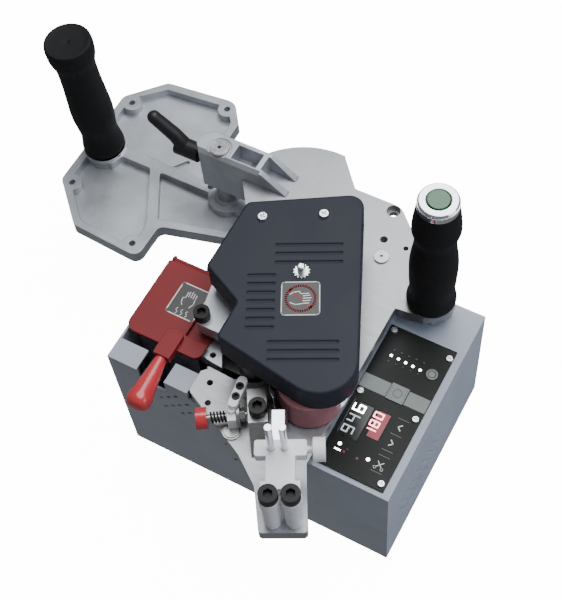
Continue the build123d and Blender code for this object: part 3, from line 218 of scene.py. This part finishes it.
# ---- thin printed pieces ------------------------------------------------------------------------
lit_white = finish(
    "lit_white", (0.85, 0.88, 0.9), (0.95, 0.96, 0.98), (0.3, 0.4), patch=400.0, edge=0.1,
    Emission_Color=(1.0, 1.0, 1.0, 1.0), Emission_Strength=9.0)
dim_white = finish(
    "dim_white", (0.4, 0.43, 0.45), (0.5, 0.52, 0.54), (0.3, 0.4), patch=400.0, edge=0.1,
    Emission_Color=(0.85, 0.92, 1.0, 1.0), Emission_Strength=0.5)
lit_red = finish(
    "lit_red", (0.8, 0.4, 0.42), (0.9, 0.45, 0.48), (0.3, 0.4), patch=400.0, edge=0.1,
    Emission_Color=(1.0, 0.30, 0.36, 1.0), Emission_Strength=5.0)
red_glow = finish(
    "red_glow", (0.2, 0.01, 0.02), (0.25, 0.015, 0.025), (0.3, 0.4), patch=400.0, edge=0.1,
    Emission_Color=(0.5, 0.02, 0.05, 1.0), Emission_Strength=0.35)
grey_print = finish(
    "grey_print", (0.10, 0.105, 0.10), (0.14, 0.145, 0.14), (0.4, 0.5), patch=300.0, edge=0.1)
red_print = finish(
    "red_print", (0.20, 0.015, 0.02), (0.26, 0.02, 0.026), (0.4, 0.5), patch=200.0, edge=0.1)
sticker_ground = finish(
    "sticker_ground", (0.035, 0.032, 0.033), (0.05, 0.046, 0.046), (0.3, 0.45), patch=90.0, edge=0.1)
sticker_white = finish(
    "sticker_white", (0.78, 0.78, 0.78), (0.88, 0.88, 0.88), (0.3, 0.45), patch=120.0, edge=0.1)

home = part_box("base_plate")[0]      # the housing's front left corner on the floor


def plan(x, y):
    """Millimetres along the housing's front and depth, to the frame's metres."""
    return home.x + x * MM, home.y + y * MM


def middle_of(low, high):
    """The middle of a box in plan, in millimetres from the housing's corner."""
    return ((low.x + high.x) / 2 - home.x) / MM, ((low.y + high.y) / 2 - home.y) / MM


def extruded(name, islands, low, high, material, body="machine"):
    """A thin printed or stuck-on piece: every island is an outline raised from low to high."""
    built = bmesh.new()
    for outline in islands:
        base = [built.verts.new((x, y, low)) for x, y in outline]
        face = built.faces.new(base)
        raised = bmesh.ops.extrude_face_region(built, geom=[face])["geom"]
        moved = [piece for piece in raised if isinstance(piece, bmesh.types.BMVert)]
        bmesh.ops.translate(built, verts=moved, vec=(0, 0, high - low))
    bmesh.ops.recalc_face_normals(built, faces=built.faces)
    mesh = bpy.data.meshes.new(name)
    built.to_mesh(mesh)
    built.free()
    mesh.materials.append(material)
    piece = bpy.data.objects.new(name, mesh)
    bpy.context.scene.collection.objects.link(piece)
    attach(piece, body)


# ---- outlines in plan ---------------------------------------------------------------------------
def ribbon(points, width, closed=False):
    """Quads along a line of plan points in metres, with a short overlap at the corners."""
    quads = []
    for (x0, y0), (x1, y1) in zip(points, points[1:] + points[:1] if closed else points[1:]):
        along = Vector((x1 - x0, y1 - y0))
        along.normalize()
        side = Vector((-along.y, along.x)) * width / 2
        ahead = along * width * 0.2
        quads.append([
            (x0 + side.x - ahead.x, y0 + side.y - ahead.y), (x0 - side.x - ahead.x, y0 - side.y - ahead.y),
            (x1 - side.x + ahead.x, y1 - side.y + ahead.y), (x1 + side.x + ahead.x, y1 + side.y + ahead.y)])
    return quads


def circle(x, y, radius, steps=32):
    """Points of a circle round a plan place, all in millimetres, given in metres."""
    turns = [radians(360.0 * i / steps) for i in range(steps)]
    return [plan(x + radius * cos(turn), y + radius * sin(turn)) for turn in turns]


def rectangle(x0, x1, y0, y1):
    return [plan(x0, y0), plan(x1, y0), plan(x1, y1), plan(x0, y1)]


def rounded_square(half, radius, steps=6):
    """Outline of a square with round corners, about the origin, in millimetres."""
    inner = half - radius
    points = []
    for quarter, (sx, sy) in enumerate(((1, 1), (-1, 1), (-1, -1), (1, -1))):
        for i in range(steps + 1):
            angle = radians(90 * quarter + 90 * i / steps)
            points.append((sx * inner + radius * cos(angle), sy * inner + radius * sin(angle)))
    return points


def turned(points, at, angle, grow_x=1.0, grow_y=1.0):
    """Local millimetre points, stretched, turned and moved to a plan place."""
    c, s = cos(radians(angle)), sin(radians(angle))
    return [plan(at[0] + grow_x * x * c - grow_y * y * s, at[1] + grow_x * x * s + grow_y * y * c)
            for x, y in points]


# ---- control panel ------------------------------------------------------------------------------
# Millimetres. X runs from the control box's left side and Y from the housing's front.
PRINT_HEIGHT = 0.15
KEY_PRINT_HEIGHT = 0.1
STRIP_FRONT, STRIP_BACK = 73, 85        # the grey strip on both sides of the square key
STRIP_MIDDLE = 79
KEY_CLEAR = 0.5
LAMPS = 5
LAMP_START, LAMP_STEP = 12.5, 6.2
LAMP_ROW, LAMP_SLANT = 106.3, 0.4
TICKS_BACK, TICKS_FRONT = 111.4, 101.0  # printed ticks behind and in front of the lamps
KEYS_X, KEYS_HALF = 44.5, 4.5           # the column of printed membrane keys
KEY_LINES = (61.5, 48.0, 34.0, 29.0, 15.5)
DIGIT_STROKE, BRIGHT_STROKE = 1.1, 1.3
WHITE_X, WHITE_TALL, WHITE_WIDE = 10.8, 8.4, 5.2
WHITE_DIGITS = (("6", 56), ("4", 46.5), ("9", 37))
RED_X, RED_TALL, RED_WIDE = 26.6, 6.8, 4.2
RED_DIGITS = (("1", 42.2), ("8", 49.5), ("0", 56.8))
SEGMENTS = {      # ends of a digit's strokes, with X across the digit and Y up, in a 1 by 2 field
    "a": ((0, 2), (1, 2)), "b": ((1, 1), (1, 2)), "c": ((1, 0), (1, 1)), "d": ((0, 0), (1, 0)),
    "e": ((0, 0), (0, 1)), "f": ((0, 1), (0, 2)), "g": ((0, 1), (1, 1)),
}
DIGITS = {"0": "abcdef", "1": "bc", "4": "bcfg", "6": "acdefg", "8": "abcdefg", "9": "abcdfg"}


def digit_strokes(digit, at, tall, wide, stroke):
    """The strokes of one digit that is read along the housing's depth, with its top to the left."""
    quads = []
    for segment in DIGITS[digit]:
        ends = SEGMENTS[segment]
        places = [plan(at[0] + (1 - v) * tall / 2, at[1] + (u - 0.5) * wide) for u, v in ends]
        quads += ribbon(places, stroke * MM)
    return quads


def make_strip():
    """The grey strip, and the ring and dashes printed on the square key."""
    film_low, film_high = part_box("panel_plate")
    key_low, key_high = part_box("strip_key")
    film_left, film_right = (film_low.x - home.x) / MM, (film_high.x - home.x) / MM
    key_left, key_right = (key_low.x - home.x) / MM, (key_high.x - home.x) / MM
    strip = [
        rectangle(film_left + 0.4, key_left - KEY_CLEAR, STRIP_FRONT, STRIP_BACK),
        rectangle(key_right + KEY_CLEAR, film_right - 0.4, STRIP_FRONT, STRIP_BACK)]
    extruded("panel_strip", strip, film_high.z, film_high.z + PRINT_HEIGHT * MM, finishes["key_grey"])
    rings = ribbon(circle((key_left + key_right) / 2, STRIP_MIDDLE, 3.4), 0.5 * MM, True)
    for x in (key_left + 1.2, key_right - 1.2):
        for step in range(5):
            front = STRIP_FRONT + 0.6 + 2.4 * step
            rings.append(rectangle(x - 0.2, x + 0.2, front, front + 1.4))
    extruded("strip_key_print", rings, key_high.z, key_high.z + KEY_PRINT_HEIGHT * MM, grey_print,
             "strip_key")


def key_symbols(x):
    """Lines on the membrane keys: two arrow heads and a pair of scissors."""
    lines = ribbon([plan(x + 1.3, 57.4), plan(x - 1.3, 55), plan(x + 1.3, 52.6)], 0.8 * MM)
    lines += ribbon([plan(x - 1.3, 43.4), plan(x + 1.3, 41), plan(x - 1.3, 38.6)], 0.8 * MM)
    lines += ribbon([plan(x - 2.4, 24.4), plan(x + 2.4, 19.6)], 0.6 * MM)
    lines += ribbon([plan(x - 2.4, 19.6), plan(x + 2.4, 24.4)], 0.6 * MM)
    lines += ribbon(circle(x - 2.8, 19.0, 1.0, 12), 0.45 * MM, True)
    lines += ribbon(circle(x + 2.8, 19.0, 1.0, 12), 0.45 * MM, True)
    return lines


def make_panel_print():
    """Lamps, ticks, key symbols and small lamps on the panel, and the power key's ring."""
    left = (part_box("control_box_cover")[0].x - home.x) / MM
    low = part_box("panel_plate")[1].z
    high = low + PRINT_HEIGHT * MM
    lamp_places = [left + LAMP_START + LAMP_STEP * i for i in range(LAMPS)]
    lamps = [circle(x, LAMP_ROW - LAMP_SLANT * i, 1.15) for i, x in enumerate(lamp_places)]
    extruded("panel_lamps", lamps, low, high, lit_white)
    power_low, power_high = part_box("power_key")
    ring = ribbon(circle(*middle_of(power_low, power_high), 3.3), 1.3 * MM, True)
    extruded("power_key_ring", ring, power_high.z, power_high.z + KEY_PRINT_HEIGHT * MM, sticker_white,
             "power_key")
    marks = []
    for x in lamp_places:
        marks.append(rectangle(x - 0.7, x + 0.7, TICKS_BACK, TICKS_BACK + 0.6))
        marks.append(rectangle(x - 0.5, x + 0.5, TICKS_FRONT, TICKS_FRONT + 0.5))
    keys = left + KEYS_X
    for y in KEY_LINES:
        marks.append(rectangle(keys - KEYS_HALF, keys + KEYS_HALF, y, y + 0.5))
    marks.append(rectangle(left + 4.5, left + 4.9, 32, 62))
    extruded("panel_marks", marks, low, high, grey_print)
    extruded("key_symbols", key_symbols(keys), low, high, sticker_white)
    dots = [
        circle(left + 11, 24, 1.4), circle(left + 35, 22, 1.4),
        rectangle(left + 9, left + 14, 18.6, 19.8)]
    extruded("panel_dots", dots, low, high, lit_white)
    reds = [
        circle(left + 16.5, 19.5, 1.1, 16), circle(left + 27.5, 19.0, 1.1, 16),
        rectangle(left + 17, left + 19, 22, 22.7)]
    extruded("panel_red_marks", reds, low, high, red_print)


def make_digits():
    """Three digits in each display. The rear white one is bright and the other two glow faintly."""
    left = (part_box("control_box_cover")[0].x - home.x) / MM
    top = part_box("displays")[1].z
    high = top + PRINT_HEIGHT * MM
    white = left + WHITE_X
    (rear_digit, rear_y), *faint = WHITE_DIGITS
    bright = digit_strokes(rear_digit, (white, rear_y), WHITE_TALL, WHITE_WIDE, BRIGHT_STROKE)
    extruded("white_digit", bright, top, high, lit_white)
    dim = []
    for digit, y in faint:
        dim += digit_strokes(digit, (white, y), WHITE_TALL, WHITE_WIDE, DIGIT_STROKE)
    extruded("faint_digits", dim, top, high, dim_white)
    window = rectangle(left + 25.4, left + 34.6, 38.4, 60.6)
    extruded("red_window", [window], top, top + 0.05 * MM, red_glow)
    strokes = []
    for digit, y in RED_DIGITS:
        strokes += digit_strokes(digit, (left + RED_X, y), RED_TALL, RED_WIDE, DIGIT_STROKE)
    extruded("red_digits", strokes, top, high, lit_red)


# ---- stickers -----------------------------------------------------------------------------------
STICKER_HEIGHT = 0.08
STICKER_LINE_HEIGHT = 0.16
STICKER_RING_HEIGHT = 0.13
COVER_STICKER_AT, COVER_STICKER_TURN = (125.0, 81.2), 27.5
BAN_R = 10.6
LID_STICKER_AT, LID_STICKER_NARROW = (33.6, 65.0), 0.85
LID_RISE = 4.5                          # what stands above the lid's flat top
HAND = [      # a plain hand, fingers to the right, in millimetres
    [(-9, -4), (-4, -6), (2, -5), (7, -4.5)], [(2, -2.5), (8, -2)], [(2, 0), (9, 0.5)],
    [(2, 2.3), (8, 3)], [(-9, 4), (-6, 6), (-1, 7), (0, 4.5), (7, 4.8)],
]


def make_cover_sticker():
    """A generic pictogram on the cover: a hand in a crossed ring."""
    at, angle = COVER_STICKER_AT, COVER_STICKER_TURN
    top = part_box("top_cover")[1].z
    ground = turned(rounded_square(13.9, 2.4), at, angle)
    extruded("cover_sticker", [ground], top, top + STICKER_HEIGHT * MM, sticker_ground)
    lines = ribbon(turned(rounded_square(13.6, 2.3), at, angle), 0.7 * MM, True)
    for line in HAND:
        lines += ribbon(turned(line, at, angle, 0.85, 0.85), 0.65 * MM)
    extruded("cover_sticker_lines", lines, top, top + STICKER_LINE_HEIGHT * MM, sticker_white)
    turns = [2 * pi * i / 40 for i in range(40)]
    round_line = [(BAN_R * cos(turn), BAN_R * sin(turn)) for turn in turns]
    ring = ribbon(turned(round_line, at, angle), 2.0 * MM, True)
    ring += ribbon(turned([(-7.4, 7.4), (7.4, -7.4)], at, angle), 2.0 * MM)
    extruded("cover_sticker_ring", ring, top, top + STICKER_RING_HEIGHT * MM, red_print)


def make_lid_sticker():
    """A generic pictogram on the lid: a hand over three waves of heat."""
    at, narrow = LID_STICKER_AT, LID_STICKER_NARROW
    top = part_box("glue_lid")[1].z - LID_RISE * MM
    ground = turned(rounded_square(14.3, 2.2), at, 0, narrow)
    extruded("lid_sticker", [ground], top, top + STICKER_HEIGHT * MM, sticker_ground,
             "lid")
    lines = ribbon(turned(rounded_square(14.0, 2.1), at, 0, narrow), 0.9 * MM, True)
    for line in HAND:
        upright = [(-y, x) for x, y in line]
        lines += ribbon(turned(upright, (at[0], at[1] + 2.5), 0, 0.8, 0.75), 0.7 * MM)
    for x in (-5, 0, 5):
        wave = [(x + 1.1 * sin(0.9 * i), -12.6 + 0.7 * i) for i in range(8)]
        lines += ribbon(turned(wave, at, 0, narrow), 0.7 * MM)
    extruded("lid_sticker_lines", lines, top, top + STICKER_LINE_HEIGHT * MM, sticker_white,
             "lid")


# ---- smooth turned pieces -----------------------------------------------------------------------
TURN_STEPS = 96
CUP_R = 12.6                            # hollow of the right sleeve
BUTTON_ROOM = 6.0                       # depth of that hollow below the button
FOOT_R = 18.5                           # foot ring of the left grip
FOOT_SUNK = 3.0
LEAN_TURN, LEAN = -61.4, 2.4
HANDLE_SKEW = 5.0
POST_R = 8.0


def flowing(points, steps=6):
    """A smooth line through the points of a turned profile."""
    ends = [points[0]] + points + [points[-1]]
    line = []
    for quad in zip(ends, ends[1:], ends[2:], ends[3:]):
        for i in range(steps):
            t = i / steps
            line.append(tuple(
                0.5 * (2 * b + (c - a) * t + (2 * a - 5 * b + 4 * c - d) * t * t
                       + (3 * b - a - 3 * c + d) * t ** 3) for a, b, c, d in zip(*quad)))
    return line + [points[-1]]


def spun(name, profile, place, material_slot, body, replaced):
    """A turned piece from (radius, height) millimetre points, about the place's own Z."""
    turns = [2 * pi * i / TURN_STEPS for i in range(TURN_STEPS)]
    built = bmesh.new()
    rings = []
    for radius, height in flowing(profile):
        rings.append([built.verts.new((
            radius * MM * cos(turn), radius * MM * sin(turn), height * MM)) for turn in turns])
    for low_ring, high_ring in zip(rings, rings[1:]):
        for i in range(TURN_STEPS):
            j = (i + 1) % TURN_STEPS
            built.faces.new((low_ring[i], low_ring[j], high_ring[j], high_ring[i]))
    built.faces.new(list(reversed(rings[0])))
    built.faces.new(rings[-1])
    bmesh.ops.recalc_face_normals(built, faces=built.faces)
    mesh = bpy.data.meshes.new(name)
    built.to_mesh(mesh)
    built.free()
    for face in mesh.polygons:
        face.use_smooth = len(face.vertices) == 4
    mesh.transform(place)
    piece = bpy.data.objects.new(name, mesh)
    bpy.context.scene.collection.objects.link(piece)
    piece.data.materials.append(finishes[material_slot])
    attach(piece, body)
    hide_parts(replaced)


def make_right_sleeve(low, high, girth):
    """The right sleeve, hollow at the top, where the button moves."""
    middle = Matrix.Translation(((low.x + high.x) / 2, (low.y + high.y) / 2, low.z))
    tall = (high.z - low.z) / MM
    hollow = (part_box("start_button")[0].z - low.z) / MM - BUTTON_ROOM
    profile = [
        (girth + 0.3, 0.4), (girth + 1.2, 2), (girth + 1.5, 5), (girth + 0.5, 9), (girth - 0.5, 16),
        (girth + 0.3, 34), (girth + 0.5, 54), (girth - 1.5, 72), (girth - 2.5, 82), (girth - 1, 90),
        (girth + 0.3, 97), (girth - 0.5, 108), (girth - 2.2, tall - 1.5), (girth - 3, tall - 0.3),
        (CUP_R + 0.6, tall - 0.3), (CUP_R + 0.1, tall - 0.8), (CUP_R, tall - 2), (CUP_R, hollow + 2),
        (CUP_R, hollow), (6.0, hollow)]
    spun("right_sleeve", profile, middle, "grip_rubber", "machine", "right_grip")


def make_left_sleeve(girth):
    """The left sleeve, which leans outwards and ends in a flared cap."""
    foot_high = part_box("left_grip_core")[1]
    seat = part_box("table_plate")[1].z - FOOT_SUNK * MM
    foot = Matrix.Translation((foot_high.x - FOOT_R * MM, foot_high.y - FOOT_R * MM, seat))
    lean = Matrix.Rotation(radians(LEAN_TURN), 4, "Z") @ Matrix.Rotation(radians(LEAN), 4, "X")
    base = 4.0
    profile = [
        (girth - 0.2, base + 0.2), (girth + 0.6, base + 2), (girth + 0.8, base + 5),
        (girth - 1.3, base + 20), (girth - 0.3, base + 34), (girth + 0.8, base + 48),
        (girth, base + 66), (girth - 1, base + 86), (girth - 1, base + 104),
        (girth + 0.2, base + 111), (girth + 1.8, base + 117), (girth + 2.4, base + 124),
        (girth + 2.2, base + 130), (girth + 1, base + 132.6), (girth - 3.5, base + 131.9),
        (2.5, base + 131.2), (1.2, base + 130.4)]
    spun("left_sleeve", profile, foot @ lean, "grip_rubber", "table", "left_grip")


def make_handle():
    """The lid's handle: slim at the neck, with a fat rounded end."""
    low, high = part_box("lid_handle")
    radius = (high.z - low.z) / MM / 2
    length = (high.y - low.y) / MM
    skew = radians(HANDLE_SKEW)
    root_x = high.x - radius * MM - sin(skew) * (length - radius) * MM
    root = Matrix.Translation((root_x, high.y - 0.5 * MM, (low.z + high.z) / 2))
    place = root @ Matrix.Rotation(skew, 4, "Z") @ Matrix.Rotation(radians(90), 4, "X")
    profile = [
        (4.3, 0.0), (4.7, 1.0), (5.4, 6), (6.6, 16), (8.3, 27), (radius - 0.1, 34.5),
        (radius - 0.3, 39), (7.4, 42.3), (4.2, 43.6), (0.8, 43.9)]
    spun("handle_grip", profile, place, "red_gloss", "lid", "lid_handle")


def make_post_highlight_and_hole_shade():
    """A bright disc on the end of the table's post, a painted highlight, with a black disc over its centre
    hole as painted shade.
    """
    post_low, post_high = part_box("table_post")
    across = (post_high.x - home.x) / MM - POST_R
    along = ((post_low.y + post_high.y) / 2 - home.y) / MM
    cap = post_high.z + 0.3 * MM
    # bright zinc disc on the post's end: painted highlight
    extruded("post_end_painted_highlight", [circle(across, along, 7.2, 48)], post_high.z, cap, finishes["zinc_screw"],
             "table")
    # black disc over the post's centre hole: painted shade
    extruded("post_hole_painted_shade", [circle(across, along, 1.6, 24)], cap, cap + 0.05 * MM,
             finishes["black_screw"], "table")


def make_serrated_washer():
    """The toothed washer under the cover's thumb screw."""
    screw_low, screw_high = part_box("cover_thumb_screw")
    x, y = middle_of(screw_low, screw_high)
    teeth = 14
    star = []
    for i in range(2 * teeth):
        radius = 6.3 if i % 2 else 5.0
        turn = pi * i / teeth
        star.append(plan(x + radius * cos(turn), y + radius * sin(turn)))
    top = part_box("top_cover")[1].z
    extruded("serrated_washer", [star], top, top + 0.7 * MM, finishes["zinc_screw"])


make_strip()
make_panel_print()
make_digits()
make_cover_sticker()
make_lid_sticker()
grip_low, grip_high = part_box("right_grip")
sleeve_girth = (grip_high.x - grip_low.x) / MM / 2 - 1.5
make_right_sleeve(grip_low, grip_high, sleeve_girth)
make_left_sleeve(sleeve_girth)
make_handle()
make_post_highlight_and_hole_shade()
make_serrated_washer()


# ---- floor, light and camera --------------------------------------------------------------------
def make_floor():
    """A pale sweep under the machine, lit evenly to white."""
    mesh = bpy.data.meshes.new("floor")
    half = 6.0
    low = cad_box[0].z - 0.5 * MM
    corners = [(-half, -half, low), (half, -half, low), (half, half, low), (-half, half, low)]
    mesh.from_pydata(corners, [], [(0, 1, 2, 3)])
    floor = bpy.data.objects.new("floor", mesh)
    bpy.context.scene.collection.objects.link(floor)
    material = bpy.data.materials.new("pale_floor")
    material.use_nodes = True
    shader = material.node_tree.nodes["Principled BSDF"]
    shader.inputs["Base Color"].default_value = (0.9, 0.9, 0.9, 1.0)
    shader.inputs["Roughness"].default_value = 0.9
    shader.inputs["Emission Color"].default_value = (1.0, 1.0, 1.0, 1.0)
    shader.inputs["Emission Strength"].default_value = 14.0
    mesh.materials.append(material)
    floor.visible_diffuse = False
    floor.visible_glossy = False


def area_light(name, place, target, size, power, colour):
    data = bpy.data.lights.new(name, "AREA")
    data.shape = "RECTANGLE"
    data.size, data.size_y = size
    data.energy = power
    data.color = colour
    lamp = bpy.data.objects.new(name, data)
    lamp.location = place
    lamp.rotation_mode = "QUATERNION"
    lamp.rotation_quaternion = (Vector(target) - Vector(place)).to_track_quat("-Z", "Y")
    bpy.context.scene.collection.objects.link(lamp)


def make_light():
    world = bpy.data.worlds.new("studio")
    world.use_nodes = True
    shade = world.node_tree.nodes["Background"]
    shade.inputs["Color"].default_value = (0.96, 0.98, 1.0, 1.0)
    shade.inputs["Strength"].default_value = 0.24
    bpy.context.scene.world = world
    middle = (cad_box[0] + cad_box[1]) / 2
    area_light("overhead", (0.1, 0.5, 1.6), middle, (1.6, 1.2), 32.0, (0.97, 0.99, 1.0))
    area_light("right_side", (1.5, 0.1, 0.7), middle, (0.9, 0.9), 9.0, (0.72, 0.80, 1.0))


def make_camera():
    """From the front right, steeply down, with a slight roll."""
    azimuth, elevation, roll = radians(34.63), radians(59.22), radians(-6.99)
    data = bpy.data.cameras.new("camera")
    data.sensor_width = 36.0
    data.lens = 75.92
    data.dof.use_dof = False
    camera = bpy.data.objects.new("camera", data)
    forward = Vector((-sin(azimuth) * cos(elevation), cos(azimuth) * cos(elevation), -sin(elevation)))
    turn = forward.to_track_quat("-Z", "Y").to_matrix() @ Matrix.Rotation(roll, 3, "Z")
    camera.matrix_world = Matrix.Translation((0.2578, -0.3908, 0.9745)) @ turn.to_4x4()
    bpy.context.scene.collection.objects.link(camera)
    bpy.context.scene.camera = camera


make_floor()
make_light()
make_camera()
